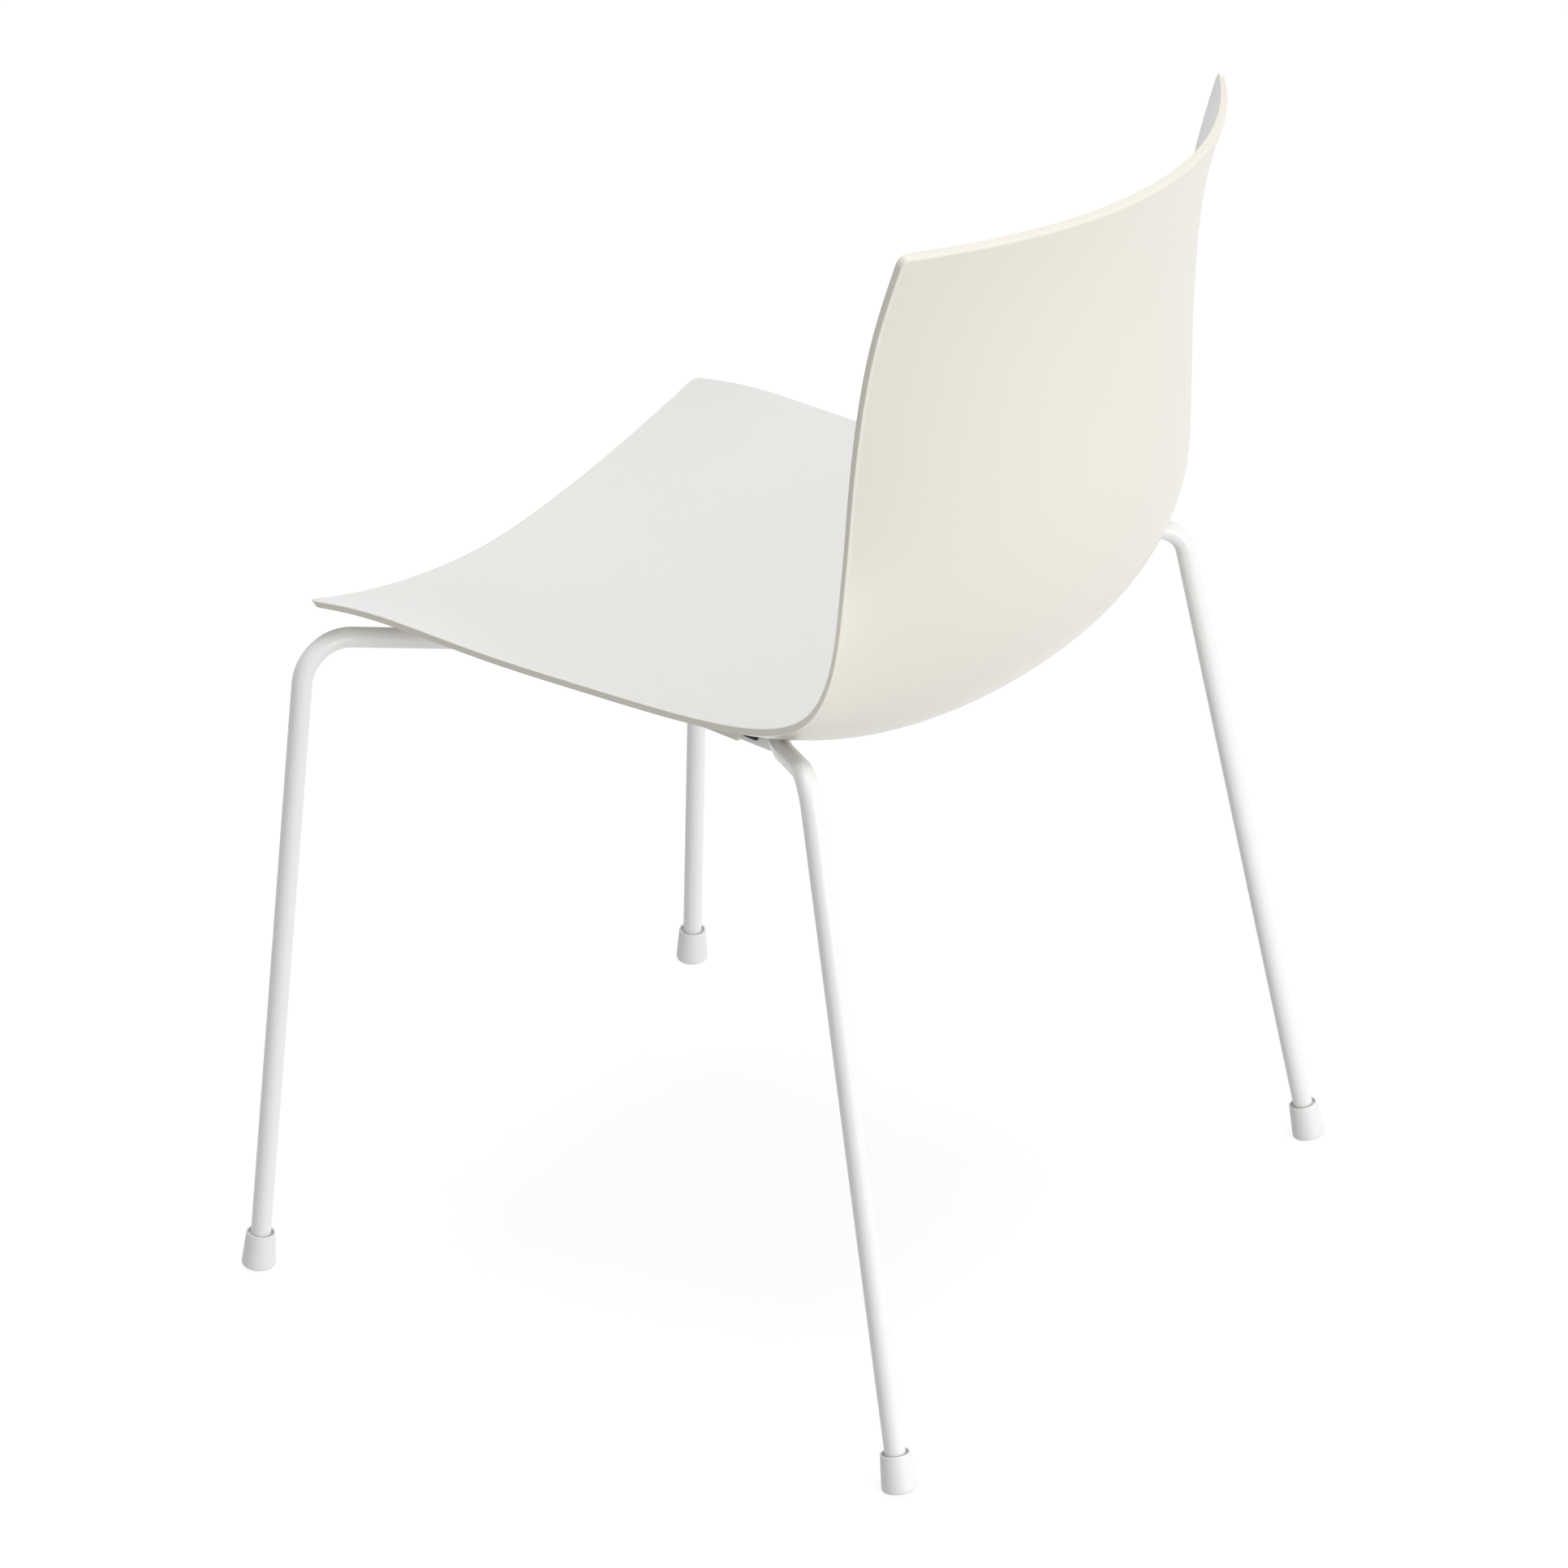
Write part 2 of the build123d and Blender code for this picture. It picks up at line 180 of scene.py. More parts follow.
def shell_grid():
    """across and run of each grid point, with rounded corners, inside the border."""
    half = stations[0, 2] - BORDER
    xs = graded(2 * half) - half
    runs = graded(LENGTH - 2 * BORDER) + BORDER
    across = np.zeros((len(runs), len(xs)))
    run_at = np.zeros_like(across)
    for j, run in enumerate(runs):
        for i, x in enumerate(xs):
            # how far the point is into a corner block, 0 to 1
            to_side = (abs(x) - (half - CORNER_BLOCK)) / CORNER_BLOCK
            to_front = (CORNER_BLOCK - (run - BORDER)) / CORNER_BLOCK
            to_top = (CORNER_BLOCK - (LENGTH - BORDER - run)) / CORNER_BLOCK
            new_x, new_run = abs(x), run
            if to_side > 0 and max(to_front, to_top) > 0:
                radius = FRONT_CORNER_R if to_front > 0 else TOP_CORNER_R
                to_side, to_end = round_corner(to_side, max(to_front, to_top), radius - BORDER)
                new_x = half - CORNER_BLOCK + to_side * CORNER_BLOCK
                inwards = CORNER_BLOCK * (1 - to_end)
                new_run = BORDER + inwards if to_front > 0 else LENGTH - BORDER - inwards
            across[j, i] = math.copysign(new_x, x)
            run_at[j, i] = new_run
    # the border keeps its width where the shell is narrower
    widths = profile(run_at)[..., 2]
    across = across / half * (widths - BORDER) / widths
    return across, run_at


ACROSS, RUN = shell_grid()
ROWS, COLUMNS = ACROSS.shape


def loop_indices():
    """Grid indices round the outline, once round."""
    front = [(0, i) for i in range(COLUMNS)]
    one_side = [(j, COLUMNS - 1) for j in range(1, ROWS)]
    top = [(ROWS - 1, i) for i in range(COLUMNS - 2, -1, -1)]
    other_side = [(j, 0) for j in range(ROWS - 2, 0, -1)]
    return front + one_side + top + other_side


LOOP = loop_indices()


def drafted_grid():
    """The grid of the outer face, whose outline is set in from the inner face's by the draft."""
    front = np.clip(1 - (RUN - BORDER) / DRAFT_FADE, 0, 1) ** 2 * FRONT_DRAFT
    top = np.clip(1 - (LENGTH - BORDER - RUN) / DRAFT_FADE, 0, 1) ** 2 * TOP_DRAFT
    seat_part = 1 / (1 + np.exp((RUN - BEND_RUN) / BEND_FADE))
    sides = BACK_SIDE_DRAFT + (SIDE_DRAFT - BACK_SIDE_DRAFT) * seat_part
    return ACROSS * (1 - sides / stations[0, 2]), RUN + front - top


def outline_frame(across_grid, run_grid):
    """For each outline point: the place at the inner face, the way outwards, the way up and the
    thickness."""
    j, i = np.array(LOOP).T
    across, run = across_grid[j, i], run_grid[j, i]
    spot = shell_points(across, run, 0.0)
    up = shell_points(across, run, 1.0) - spot
    tangent = np.roll(spot, -1, axis=0) - np.roll(spot, 1, axis=0)
    tangent /= np.linalg.norm(tangent, axis=1, keepdims=True)
    out = np.cross(tangent, up)
    out /= np.linalg.norm(out, axis=1, keepdims=True)
    return spot, out, up, profile(run)[:, 6]


OUTER_ACROSS, OUTER_RUN = drafted_grid()
INNER_OUTLINE = outline_frame(ACROSS, RUN)
OUTER_OUTLINE = outline_frame(OUTER_ACROSS, OUTER_RUN)


def arc(centre, radius, start, end, steps):
    """Points (inset, height) of an arc, angles in degrees."""
    angles = np.radians(np.linspace(start, end, steps + 1))
    return [(centre[0] + radius * math.cos(a), centre[1] + radius * math.sin(a)) for a in angles]


def inner_ring(inset, height):
    """Outline ring at an inset from the edge of the inner face and a height above it."""
    spot, out, up, _ = INNER_OUTLINE
    return spot + out * (BORDER - inset) + up * height


def outer_ring(inset, height):
    """Outline ring at an inset from the edge of the outer face and a height above it."""
    spot, out, up, thick = OUTER_OUTLINE
    return spot + out * (BORDER - inset) + up * (height - thick)[:, None]


def layer(name, inner_grid, rings, outer_grid):
    """Closed solid between two grids of the shell, with rings round its edge."""
    vertices = np.concatenate([inner_grid.reshape(-1, 3), *rings, outer_grid.reshape(-1, 3)])
    loop_size = len(LOOP)
    inner_loop = [j * COLUMNS + i for j, i in LOOP]
    loops = [inner_loop]
    start = ROWS * COLUMNS
    for _ in rings:
        loops.append(list(range(start, start + loop_size)))
        start += loop_size
    loops.append([start + k for k in inner_loop])
    faces = []
    for j in range(ROWS - 1):
        for i in range(COLUMNS - 1):
            a, b = j * COLUMNS + i, j * COLUMNS + i + 1
            c, d = b + COLUMNS, a + COLUMNS
            faces.append((a, b, c, d))
            faces.append((start + d, start + c, start + b, start + a))
    for upper, lower in zip(loops, loops[1:]):
        for k in range(loop_size):
            n = (k + 1) % loop_size
            faces.append((upper[n], upper[k], lower[k], lower[n]))
    return mesh_object(name, vertices * MM, faces)


def mesh_object(name, vertices, faces):
    """Smooth-shaded mesh object; vertices in metres."""
    mesh = bpy.data.meshes.new(name)
    mesh.from_pydata([tuple(v) for v in vertices], [], faces)
    mesh.validate()
    mesh.polygons.foreach_set("use_smooth", [True] * len(mesh.polygons))
    obj = bpy.data.objects.new(name, mesh)
    bpy.context.scene.collection.objects.link(obj)
    return obj


RIM_ROUND = 0.3           # edge between the ivory border and the side face
RIM_STEPS = 5
OUTER_ROUND = 1.0         # edge between the side face and the outer face
OUTER_STEPS = 7
SKIN_PROUD = 0.12         # the white skin stands this much above the ivory border
SKIN_ROUND = 0.25
SKIN_STEPS = 4
SKIN_INSET = 0.6          # width of the ivory border
SKIN_DEPTH = 1.0
LEDGE = 0.6               # the body's face under the skin lies this deep
LIP = ((0.0, 0.12), (0.06, 0.02), (0.15, 0.0))     # soft inner edge of the border: (outwards, down)
body_rings = [inner_ring(SKIN_INSET, -LEDGE)]
body_rings += [inner_ring(SKIN_INSET - outwards, -down) for outwards, down in LIP]
body_rings += [inner_ring(inset, height) for inset, height in
               arc((RIM_ROUND, -RIM_ROUND), RIM_ROUND, 90, 180, RIM_STEPS)]
body_rings += [outer_ring(inset, height) for inset, height in
               arc((OUTER_ROUND, OUTER_ROUND), OUTER_ROUND, 180, 270, OUTER_STEPS)]
shell_body = layer("shell_body", shell_points(ACROSS, RUN, -LEDGE), body_rings,
                   shell_points(OUTER_ACROSS, OUTER_RUN, -profile(OUTER_RUN)[..., 6]))

skin_rings = [inner_ring(inset, height) for inset, height in
              arc((SKIN_INSET + SKIN_ROUND, SKIN_PROUD - SKIN_ROUND), SKIN_ROUND, 90, 180, SKIN_STEPS)]
skin_rings += [inner_ring(SKIN_INSET, -SKIN_DEPTH)]
shell_skin = layer("shell_skin", shell_points(ACROSS, RUN, SKIN_PROUD), skin_rings,
                   shell_points(ACROSS, RUN, -SKIN_DEPTH))

# ---------------------------------------------------------------- materials
BLOTCH_SCALE = 7.0        # noise scales, in waves per metre
SMUDGE_SCALE = 11.0
SPECK_COARSENESS = 0.35   # specks are larger than the grain by one over this
SPECK_STRENGTH = 0.1
ROUGHNESS_SPREAD = 0.012
COAT_ROUGHNESS = 0.12
WORN_POINTINESS = (0.57, 0.70)     # where edge wear begins and where it is full
WORN_GAIN = 1.25
WORN_LIFT = 0.03


def worn_color(color):
    """The lighter colour of a rubbed edge."""
    return tuple(min(1.0, c * WORN_GAIN + WORN_LIFT) for c in color)


def node_material(name, color, roughness, *, grain, grain_depth, blotch, wear,
                  coat=0.0, metallic=0.0, ior=1.46):
    """Procedural finish. color is linear RGB, grain is the grain size and grain_depth its height in
    metres, blotch the depth of the slow colour variation, wear the lightening along edges."""
    material = bpy.data.materials.new(name)
    material.use_nodes = True
    tree = material.node_tree
    nodes, links = tree.nodes, tree.links
    shader = nodes["Principled BSDF"]
    shader.inputs["Metallic"].default_value = metallic
    shader.inputs["IOR"].default_value = ior
    shader.inputs["Coat Weight"].default_value = coat
    shader.inputs["Coat Roughness"].default_value = COAT_ROUGHNESS
    where = nodes.new("ShaderNodeTexCoord")

    def noise(scale, detail, rough):
        texture = nodes.new("ShaderNodeTexNoise")
        texture.inputs["Scale"].default_value = scale
        texture.inputs["Detail"].default_value = detail
        texture.inputs["Roughness"].default_value = rough
        links.new(where.outputs["Object"], texture.inputs["Vector"])
        return texture.outputs["Fac"]

    def mapped(source, low, high, source_low=0.0, source_high=1.0):
        ramp = nodes.new("ShaderNodeMapRange")
        ramp.inputs["From Min"].default_value = source_low
        ramp.inputs["From Max"].default_value = source_high
        ramp.inputs["To Min"].default_value = low
        ramp.inputs["To Max"].default_value = high
        links.new(source, ramp.inputs["Value"])
        return ramp.outputs["Result"]

    def mix(factor, first, second):
        blend = nodes.new("ShaderNodeMix")
        blend.data_type = "RGBA"
        links.new(factor, blend.inputs[0])
        for socket, value in ((blend.inputs[6], first), (blend.inputs[7], second)):
            if isinstance(value, tuple):
                socket.default_value = (*value, 1.0)
            else:
                links.new(value, socket)
        return blend.outputs[2]

    darker = tuple(c * (1 - blotch) for c in color)
    lighter = tuple(min(1.0, c * (1 + blotch)) for c in color)
    base = mix(noise(BLOTCH_SCALE, 2.0, 0.5), darker, lighter)
    specks = mapped(noise(SPECK_COARSENESS / grain, 1.0, 0.4), 0.0, SPECK_STRENGTH)
    flecked = mix(specks, base, darker)
    pointiness = nodes.new("ShaderNodeNewGeometry").outputs["Pointiness"]
    worn = mix(mapped(pointiness, 0.0, wear, *WORN_POINTINESS), flecked, worn_color(color))
    links.new(worn, shader.inputs["Base Color"])
    smudges = mapped(noise(SMUDGE_SCALE, 1.0, 0.4),
                     roughness - ROUGHNESS_SPREAD, roughness + ROUGHNESS_SPREAD)
    links.new(smudges, shader.inputs["Roughness"])
    bump = nodes.new("ShaderNodeBump")
    bump.inputs["Distance"].default_value = grain_depth
    links.new(noise(1.0 / grain, 2.0, 0.55), bump.inputs["Height"])
    links.new(bump.outputs["Normal"], shader.inputs["Normal"])
    return material


MATERIALS = {
    "shell_ivory": node_material("moulded_ivory", (0.742, 0.711, 0.640), 0.29, grain=0.0011,
                                 grain_depth=0.000003, blotch=0.012, wear=0.35, ior=1.34),
    "shell_white": node_material("moulded_white", (0.785, 0.785, 0.766), 0.36, grain=0.0009,
                                 grain_depth=0.000006, blotch=0.008, wear=0.3),
    "frame_white": node_material("powder_coat_white", (0.84, 0.84, 0.83), 0.30, grain=0.0016,
                                 grain_depth=0.00003, blotch=0.01, wear=0.3, coat=0.15),
    "glide_white": node_material("glide_plastic", (0.82, 0.82, 0.81), 0.45, grain=0.0008,
                                 grain_depth=0.00002, blotch=0.02, wear=0.3),
    "pad_black": node_material("pad_rubber", (0.012, 0.012, 0.013), 0.65, grain=0.0006,
                               grain_depth=0.00004, blotch=0.25, wear=0.2),
    "insert_brass": node_material("brass_insert", (0.60, 0.42, 0.16), 0.30, grain=0.0005,
                                  grain_depth=0.00002, blotch=0.08, wear=0.4, metallic=1.0),
    "fastener_steel": node_material("zinc_steel", (0.56, 0.57, 0.59), 0.32, grain=0.0005,
                                    grain_depth=0.00002, blotch=0.06, wear=0.4, metallic=1.0),
}
SLOT_OF_NODE = {part["node"]: part["material_slot"] for part in frame["record"]["subparts"]}


def finish_with(obj, slot):
    """The object takes the material of a slot."""
    obj.data.materials.clear()
    obj.data.materials.append(MATERIALS[slot])


for node_name, node in frame["nodes"].items():
    finish_with(node, SLOT_OF_NODE[node_name])


# rounding in millimetres, by how a node's name ends
EDGE_WIDTH = {"rail": 0.5, "tab": 0.4, "stacking_pad": 0.5, "mounting_screws": 0.25, "screw_washers": 0.15}
SAME_SPOT = 0.01 * MM
FLAT_ANGLE = math.radians(1.0)
SHARP_ANGLE = math.radians(50.0)
EDGE_SEGMENTS = 3


def soften_edges(node, width):
    """Rounds the sharp edges of a CAD node by a width in millimetres, with modifiers only."""
    weld = node.modifiers.new("weld", "WELD")
    weld.merge_threshold = SAME_SPOT
    flat = node.modifiers.new("flat", "DECIMATE")
    flat.decimate_type = "DISSOLVE"
    flat.angle_limit = FLAT_ANGLE
    bevel = node.modifiers.new("edge", "BEVEL")
    bevel.width = width * MM
    bevel.segments = EDGE_SEGMENTS
    bevel.limit_method = "ANGLE"
    bevel.angle_limit = SHARP_ANGLE
    bevel.miter_outer = "MITER_ARC"
    smooth = node.modifiers.new("shading", "WEIGHTED_NORMAL")
    smooth.keep_sharp = True


for node_name, node in frame["nodes"].items():
    for ending, width in EDGE_WIDTH.items():
        if node_name.endswith(ending):
            soften_edges(node, width)


def place(piece, slot, *nodes):
    """The piece rides on the chair, takes a finish and stands for CAD nodes."""
    finish_with(piece, slot)
    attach(piece, BODY)
    if nodes:
        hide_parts(*nodes)


place(shell_body, "shell_ivory", "seat_shell")
place(shell_skin, "shell_white", "seat_face")

# ---------------------------------------------------------------- moulded ribs and screw bosses
# All of this stands in the rail frame: x across, y to the rear along the rail, z up from its middle.
RAIL_TILT = math.radians(6.45)
RAIL_ORIGIN = np.array([0.0, 62.0, 408.0])
RAIL_BACK = np.array([0.0, math.cos(RAIL_TILT), -math.sin(RAIL_TILT)])
RAIL_UP = np.array([0.0, math.sin(RAIL_TILT), math.cos(RAIL_TILT)])
RAIL_FACES = (93.5, 99.5)         # inner and outer face of the left rail
FOOT_ROUND = ((0.7, 0.0), (0.35, 0.08), (0.1, 0.3), (0.0, 0.7))        # (inset, rise)
SHELL_FLARE = ((0.0, 2.2), (0.3, 1.2), (0.9, 0.45), (2.0, -0.1), (2.2, -1.2))     # (outwards, drop)
RIB_X = 104.0
RIB_SPAN = (-196.0, -36.0)
RIB_WIDTH = 6.0
RIB_CORNER_R = 1.4
SMALLEST_CORNER_R = 0.2
RIB_FOOT = -4.7
RIB_DRAFT = 0.2
TAB_STATIONS = {"rear": 45.0, "front": 150.0}     # forward of the rail frame's origin
TAB_HALF_WIDTH = 13.0
TAB_UNDERSIDE = 4.0
TAB_TOP = 7.0                     # the bosses stand on the tabs
SCREW_OFFSET = 14.0               # from the rail's inner face
BOSS_R = 10.0
BOSS_DRAFT = 1.0
SCREW_HOLE_R = 4.0
SCREW_HOLE_DEPTH = 5.0
BELOW_SHELL = -20.0               # rays to the shell start at this height
CIRCLE_STEPS = 40
CORNER_STEPS = 4
SIDE_STEPS = 25
shell_tree = BVHTree.FromObject(shell_body, bpy.context.evaluated_depsgraph_get())


def rail_point(x, y, z):
    """Point of the rail frame."""
    return RAIL_ORIGIN + np.array([x, 0.0, 0.0]) + RAIL_BACK * y + RAIL_UP * z


def height_below_shell(x, y):
    """Rail-frame height of the shell's underside above the point (x, y)."""
    start = rail_point(x, y, BELOW_SHELL)
    hit = shell_tree.ray_cast(Vector(start * MM), Vector(RAIL_UP))[0]
    return float((np.array(hit) / MM - RAIL_ORIGIN) @ RAIL_UP)


def moulded_post(name, foot, outline, draft, hole=None):
    """Closed solid that grows from height foot up into the shell. outline(inset) gives its (x, y)
    points. Its foot edge is rounded, and it flares where it meets the shell. hole is the outline of
    a screw hole in the foot."""
    rings = []
    if hole is not None:
        for depth in (SCREW_HOLE_DEPTH, 0.0):
            rings.append([rail_point(x, y, foot + depth) for x, y in hole])
    for inset, rise in FOOT_ROUND:
        rings.append([rail_point(x, y, foot + rise) for x, y in outline(inset)])
    for outwards, drop in SHELL_FLARE:
        rings.append([rail_point(x, y, height_below_shell(x, y) - drop)
                      for x, y in outline(-draft - outwards)])
    size = len(rings[0])
    faces = []
    for r in range(len(rings) - 1):
        for k in range(size):
            n = (k + 1) % size
            faces.append((r * size + k, r * size + n, (r + 1) * size + n, (r + 1) * size + k))
    last = (len(rings) - 1) * size
    faces.append(tuple(reversed(range(size))))
    faces.append(tuple(range(last, last + size)))
    return mesh_object(name, np.concatenate([np.array(r) for r in rings]) * MM, faces)


def circle_outline(cx, cy, radius):
    """Outline of a circle, as a function of the inset."""
    def outline(inset):
        angles = [2 * math.pi * k / CIRCLE_STEPS for k in range(CIRCLE_STEPS)]
        return [(cx + (radius - inset) * math.cos(a), cy + (radius - inset) * math.sin(a)) for a in angles]
    return outline


def rib_outline(cx):
    """Outline of a rib with rounded corners, as a function of the inset. Its long sides are divided
    so that they follow the shell."""
    def outline(inset):
        r = max(SMALLEST_CORNER_R, RIB_CORNER_R - inset)
        half = RIB_WIDTH / 2 - inset
        front, rear = RIB_SPAN[0] + inset + r, RIB_SPAN[1] - inset - r
        corners = ((half - r, rear, 0), (r - half, rear, 90),
                   (r - half, front, 180), (half - r, front, 270))
        points = []
        for dx, cy, start in corners:
            for angle in np.radians(np.linspace(start, start + 90, CORNER_STEPS + 1)):
                points.append((cx + dx + r * math.cos(angle), cy + r * math.sin(angle)))
            if start in (90, 270):
                opposite = front + rear - cy
                for y in np.linspace(cy, opposite, SIDE_STEPS + 1)[1:-1]:
                    points.append((cx + math.copysign(half, dx), y))
        return points
    return outline


for side_name, side in (("left", 1), ("right", -1)):
    rib = moulded_post(f"{side_name}_rib", RIB_FOOT, rib_outline(side * RIB_X), RIB_DRAFT)
    place(rib, "shell_ivory", "seat_shell")
    for end_name, station in TAB_STATIONS.items():
        screw_x = side * (RAIL_FACES[0] - SCREW_OFFSET)
        hole = circle_outline(screw_x, -station, SCREW_HOLE_R)(0.0)
        boss = moulded_post(f"{end_name}_{side_name}_boss", TAB_TOP,
                            circle_outline(screw_x, -station, BOSS_R), BOSS_DRAFT, hole)
        place(boss, "shell_ivory", "seat_shell")

# ---------------------------------------------------------------- weld beads of the frame
RAIL_HALF_HEIGHT = 7.0
RAIL_SPAN = (-219.0, -12.5)       # along the rail, in the rail frame
BEAD_R = 1.5
BEAD_STEP = 0.3
BEAD_SIDES = 12
BEAD_FEWEST_STEPS = 8
BEAD_TIP = 0.02                   # the round ends are cut off this share of the radius before their tip
SHORTEST_STRETCH = 4              # shorter runs of points get no bead
RIPPLE_PITCH = 1.7
RIPPLE_DEPTH = 0.05
RING_STEPS = 72
OUTER_SHARE = 0.85                # points nearer than this share of the reach are the tube's bore


def tube_ring(node, x):
    """Loop of points where the plane at x cuts the outside of a tube, in millimetres."""
    mesh = node.data
    spots = np.empty(len(mesh.vertices) * 3)
    mesh.vertices.foreach_get("co", spots)
    spots = spots.reshape(-1, 3) / MM
    ends = np.empty(len(mesh.edges) * 2, int)
    mesh.edges.foreach_get("vertices", ends)
    starts, stops = spots[ends[0::2]], spots[ends[1::2]]
    cut = (starts[:, 0] - x) * (stops[:, 0] - x) < 0
    starts, stops = starts[cut], stops[cut]
    share = ((x - starts[:, 0]) / (stops[:, 0] - starts[:, 0]))[:, None]
    hits = (starts + (stops - starts) * share)[:, 1:]
    centre = (hits.min(axis=0) + hits.max(axis=0)) / 2
    arms = hits - centre
    turn = np.mod(np.arctan2(arms[:, 1], arms[:, 0]), 2 * math.pi)
    reach = np.hypot(*arms.T)
    step = 2 * math.pi / RING_STEPS
    angles = step * np.arange(RING_STEPS)
    outside = []
    for angle in angles:
        away = np.abs(np.mod(turn - angle + math.pi, 2 * math.pi) - math.pi)
        outside.append(reach[away < step].max(initial=0.0))
    outside = np.array(outside)
    known = outside > OUTER_SHARE * outside.max()
    outside = np.interp(angles, angles[known], outside[known], period=2 * math.pi)
    ring = centre + outside[:, None] * np.column_stack([np.cos(angles), np.sin(angles)])
    return np.column_stack([np.full(RING_STEPS, x), ring])


def on_rail(ring):
    """Stretches of a loop that lie on the side of a rail."""
    inside = []
    for spot in ring:
        away = spot - RAIL_ORIGIN
        along_rail, height = away @ RAIL_BACK, away @ RAIL_UP
        inside.append(RAIL_SPAN[0] <= along_rail <= RAIL_SPAN[1] and abs(height) <= RAIL_HALF_HEIGHT)
    if all(inside):
        return [np.vstack([ring, ring[:1]])]
    first = next(k for k in range(len(ring)) if inside[k] and not inside[k - 1])
    stretches = []
    for k in range(first, first + len(ring)):
        if inside[k % len(ring)]:
            if not inside[k % len(ring) - 1]:
                stretches.append([])
            stretches[-1].append(ring[k % len(ring)])
    return [np.array(stretch) for stretch in stretches if len(stretch) > SHORTEST_STRETCH]


def bead(path):
    """Vertices and faces of a rippled bead along a path in a plane of constant x."""
    gaps = np.linalg.norm(np.diff(path, axis=0), axis=1)
    walked = np.concatenate([[0.0], np.cumsum(gaps)])
    at = np.linspace(0.0, walked[-1], max(BEAD_FEWEST_STEPS, round(walked[-1] / BEAD_STEP)) + 1)
    spots = np.column_stack([np.interp(at, walked, column) for column in path.T])
    ahead = np.gradient(spots, axis=0)
    ahead /= np.linalg.norm(ahead, axis=1, keepdims=True)
    side = np.array([1.0, 0.0, 0.0])
    lift = np.cross(ahead, side)
    to_end = np.clip(np.minimum(at, at[-1] - at) / BEAD_R, BEAD_TIP, 1.0)
    radius = BEAD_R * np.sqrt(1 - (1 - to_end) ** 2)
    radius *= 1 + RIPPLE_DEPTH * np.sin(2 * math.pi * at / RIPPLE_PITCH)
    rings = []
    for k in range(BEAD_SIDES):
        turn = 2 * math.pi * k / BEAD_SIDES
        rings.append(spots + (side * math.cos(turn) + lift * math.sin(turn)) * radius[:, None])
    vertices = np.stack(rings, axis=1).reshape(-1, 3)
    faces = [tuple(range(BEAD_SIDES))]
    for row in range(len(spots) - 1):
        for k in range(BEAD_SIDES):
            here, after = row * BEAD_SIDES + k, row * BEAD_SIDES + (k + 1) % BEAD_SIDES
            faces.append((here, here + BEAD_SIDES, after + BEAD_SIDES, after))
    last = (len(spots) - 1) * BEAD_SIDES
    faces.append(tuple(reversed(range(last, last + BEAD_SIDES))))
    return vertices, faces


bead_paths = []
for side in (1, -1):
    for tube in ("front_leg_tube", "rear_leg_tube"):
        for face in RAIL_FACES:
            bead_paths += on_rail(tube_ring(frame["nodes"][tube], side * face))
    for station in TAB_STATIONS.values():
        bead_paths.append(np.array([rail_point(side * RAIL_FACES[0], -station + end, TAB_UNDERSIDE)
                                    for end in (-TAB_HALF_WIDTH, TAB_HALF_WIDTH)]))
bead_vertices, bead_faces, bead_start = [], [], 0
for path in bead_paths:
    vertices, faces = bead(path)
    bead_vertices.append(vertices)
    bead_faces += [tuple(v + bead_start for v in face) for face in faces]
    bead_start += len(vertices)
place(mesh_object("weld_beads", np.concatenate(bead_vertices) * MM, bead_faces), "frame_white")

# ---------------------------------------------------------------- studio
WORLD_LEVEL = 0.585
WORLD_SLOPE = (-0.10, 0.19, 0.03)     # the studio gets brighter this way
STUDIO_RADIUS = 9.0
DOME_STEPS = 48
DOME_RINGS = 12


def studio_material(name, gray, specular, glow):
    """Plain grey that also gives off white light."""
    material = bpy.data.materials.new(name)
    material.use_nodes = True
    shader = material.node_tree.nodes["Principled BSDF"]
    shader.inputs["Base Color"].default_value = (gray, gray, gray, 1.0)
    shader.inputs["Roughness"].default_value = 0.9
    shader.inputs["Specular IOR Level"].default_value = specular
    shader.inputs["Emission Color"].default_value = (1.0, 1.0, 1.0, 1.0)
    shader.inputs["Emission Strength"].default_value = glow
    return material


floor_corners = [(x * STUDIO_RADIUS, y * STUDIO_RADIUS, 0.0)
                 for x, y in ((-1, -1), (1, -1), (1, 1), (-1, 1))]
floor = mesh_object("studio_floor", floor_corners, [(0, 1, 2, 3)])
floor.data.materials.append(studio_material("floor_paper", gray=0.35, specular=0.1, glow=0.74))
floor.visible_diffuse = False

world = bpy.data.worlds.new("studio")
world.use_nodes = True
sky = world.node_tree.nodes
background = sky["Background"]
background.inputs["Color"].default_value = (1.0, 1.0, 1.0, 1.0)
direction = sky.new("ShaderNodeTexCoord")
level = sky.new("ShaderNodeVectorMath")
level.operation = "DOT_PRODUCT"
level.inputs[1].default_value = WORLD_SLOPE
raised = sky.new("ShaderNodeMath")
raised.operation = "ADD"
raised.inputs[1].default_value = WORLD_LEVEL
world.node_tree.links.new(direction.outputs["Generated"], level.inputs[0])
world.node_tree.links.new(level.outputs["Value"], raised.inputs[0])
world.node_tree.links.new(raised.outputs["Value"], background.inputs["Strength"])
bpy.context.scene.world = world


def softbox(name, location, target, size, watts):
    """Square area light that faces the target; metres."""
    data = bpy.data.lights.new(name, "AREA")
    data.shape = "SQUARE"
    data.size = size
    data.energy = watts
    obj = bpy.data.objects.new(name, data)
    bpy.context.scene.collection.objects.link(obj)
    obj.location = location
    obj.rotation_euler = (Vector(target) - Vector(location)).to_track_quat("-Z", "Y").to_euler()


softbox("top_softbox", (0.0, 0.0, 3.6), (0.0, 0.0, 0.45), 2.0, 50.5)
softbox("key_softbox", (0.7, 3.4, 0.95), (0.0, 0.0, 0.5), 1.6, 48.0)

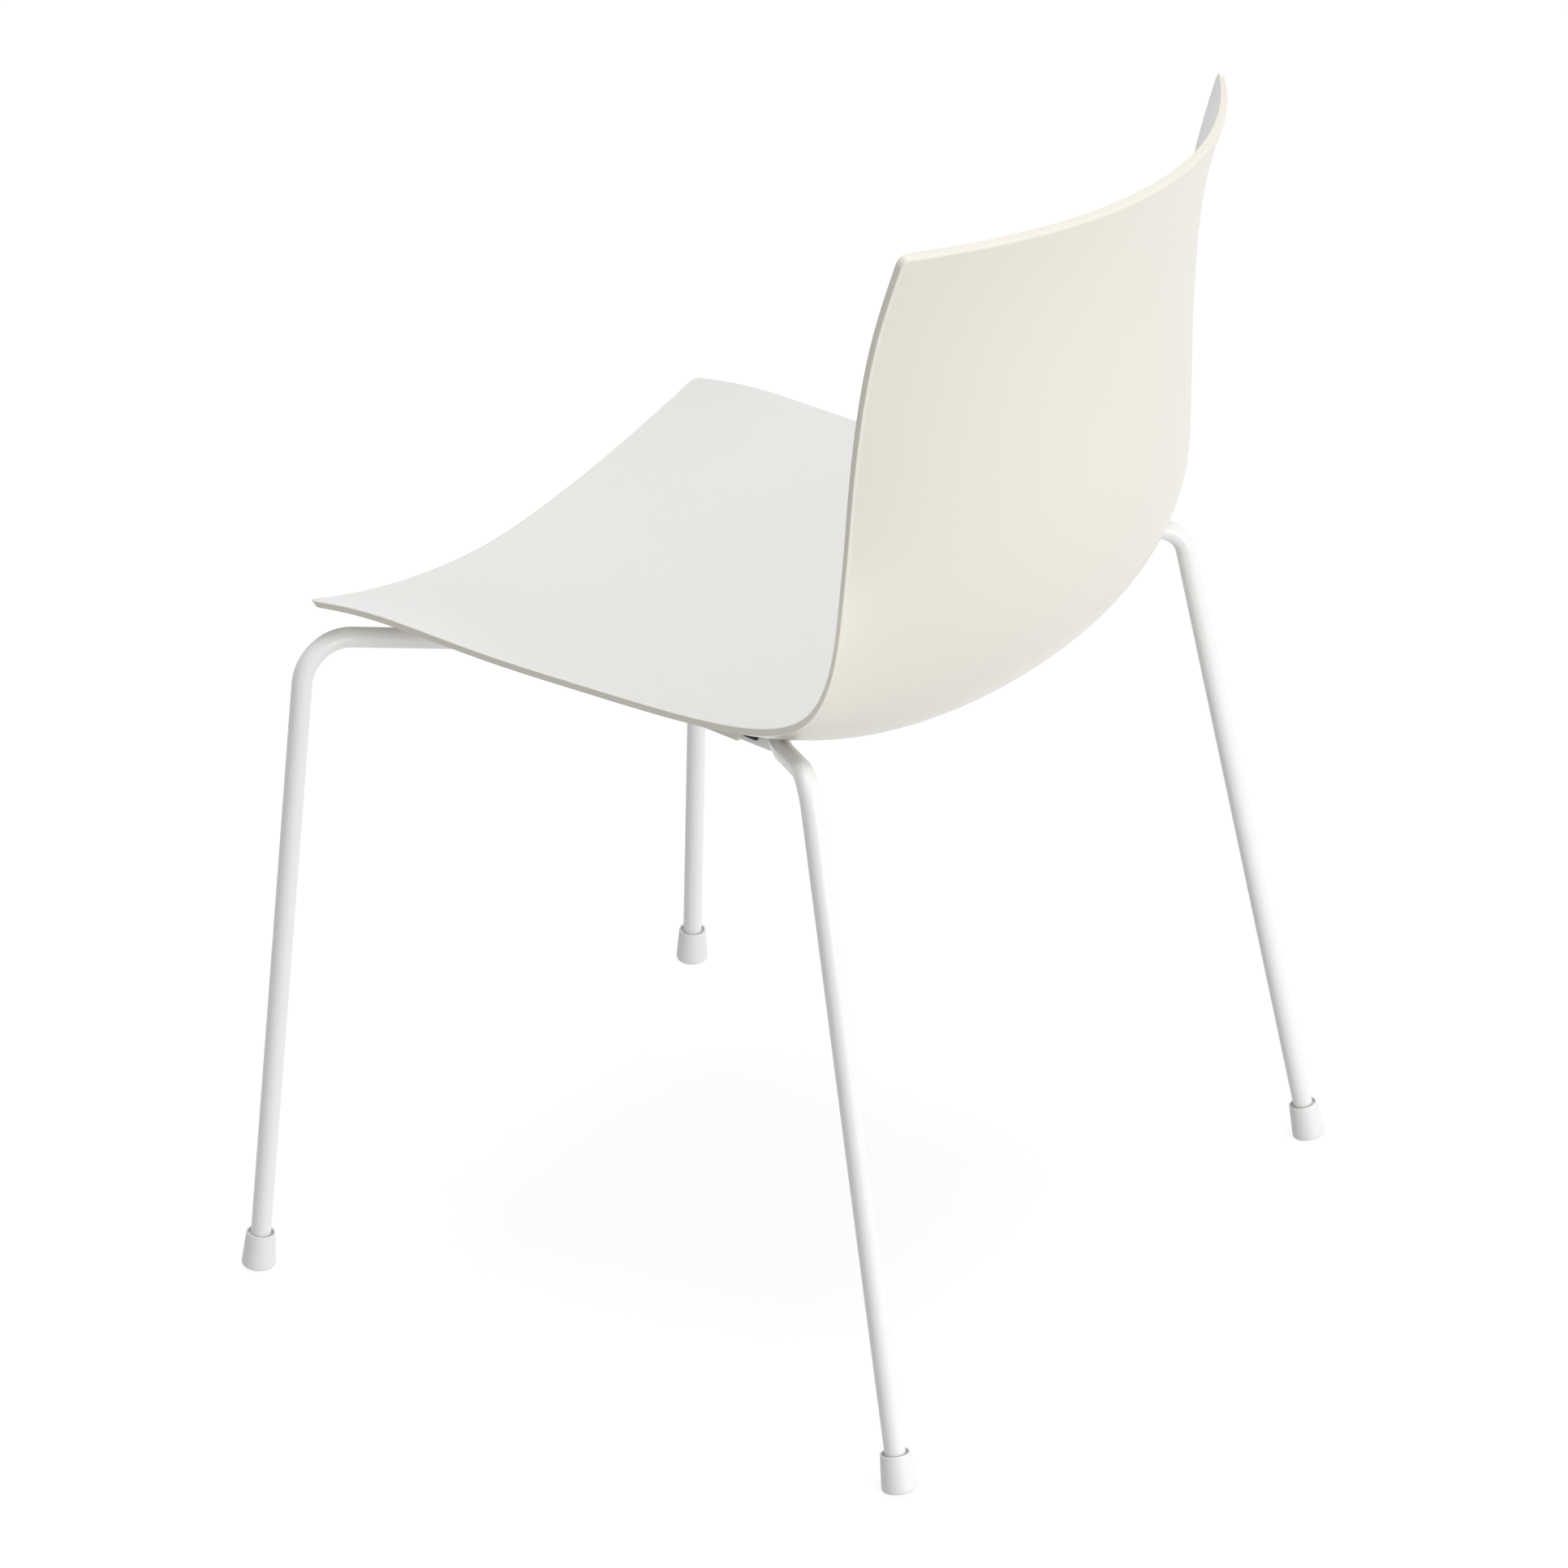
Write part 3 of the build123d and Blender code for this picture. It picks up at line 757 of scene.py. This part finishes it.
dome_vertices, dome_faces = [], []
for ring_number in range(DOME_RINGS + 1):
    tilt = math.radians(90.0 * ring_number / DOME_RINGS)
    for step in range(DOME_STEPS):
        turn = 2 * math.pi * step / DOME_STEPS
        dome_vertices.append((STUDIO_RADIUS * math.cos(tilt) * math.cos(turn),
                              STUDIO_RADIUS * math.cos(tilt) * math.sin(turn),
                              STUDIO_RADIUS * math.sin(tilt)))
for start in range(0, DOME_RINGS * DOME_STEPS, DOME_STEPS):
    for step in range(DOME_STEPS):
        after = (step + 1) % DOME_STEPS
        above_start = start + DOME_STEPS
        dome_faces.append((start + step, start + after, above_start + after, above_start + step))
dome = mesh_object("studio_backdrop", dome_vertices, dome_faces)
dome.data.materials.append(studio_material("backdrop_white", gray=0.0, specular=0.0, glow=1.02))
dome.visible_diffuse = False
dome.visible_glossy = False
dome.visible_transmission = False
dome.visible_shadow = False

# ---------------------------------------------------------------- camera
CAMERA_AZIMUTH = math.radians(122.576)     # from the front, towards the sitter's left
CAMERA_ELEVATION = math.radians(25.848)
CAMERA_DISTANCE = 4.134
TARGET = Vector((0.0, -0.0065, 0.4))
CAMERA_SIDE = -0.000102       # how far the camera stands to the right of the target's axis
CAMERA_RISE = -0.06821        # and above it
SENSOR_WIDTH = 36.0
IMAGE_WIDTH = 1932.0          # pixels
FOCAL_LENGTH = 7550.0         # pixels
back = Vector((math.sin(CAMERA_AZIMUTH) * math.cos(CAMERA_ELEVATION),
               -math.cos(CAMERA_AZIMUTH) * math.cos(CAMERA_ELEVATION),
               math.sin(CAMERA_ELEVATION)))
right = Vector((0.0, 0.0, 1.0)).cross(back).normalized()
above = back.cross(right)
camera_data = bpy.data.cameras.new("camera")
camera_data.sensor_width = SENSOR_WIDTH
camera_data.lens = FOCAL_LENGTH / IMAGE_WIDTH * SENSOR_WIDTH
camera_data.clip_start = 0.1
camera_data.clip_end = 100.0
camera = bpy.data.objects.new("camera", camera_data)
bpy.context.scene.collection.objects.link(camera)
camera.location = TARGET + back * CAMERA_DISTANCE + right * CAMERA_SIDE + above * CAMERA_RISE
camera.rotation_mode = "QUATERNION"
camera.rotation_quaternion = (-back).to_track_quat("-Z", "Y")
bpy.context.scene.camera = camera
bpy.context.scene.view_settings.view_transform = "Standard"
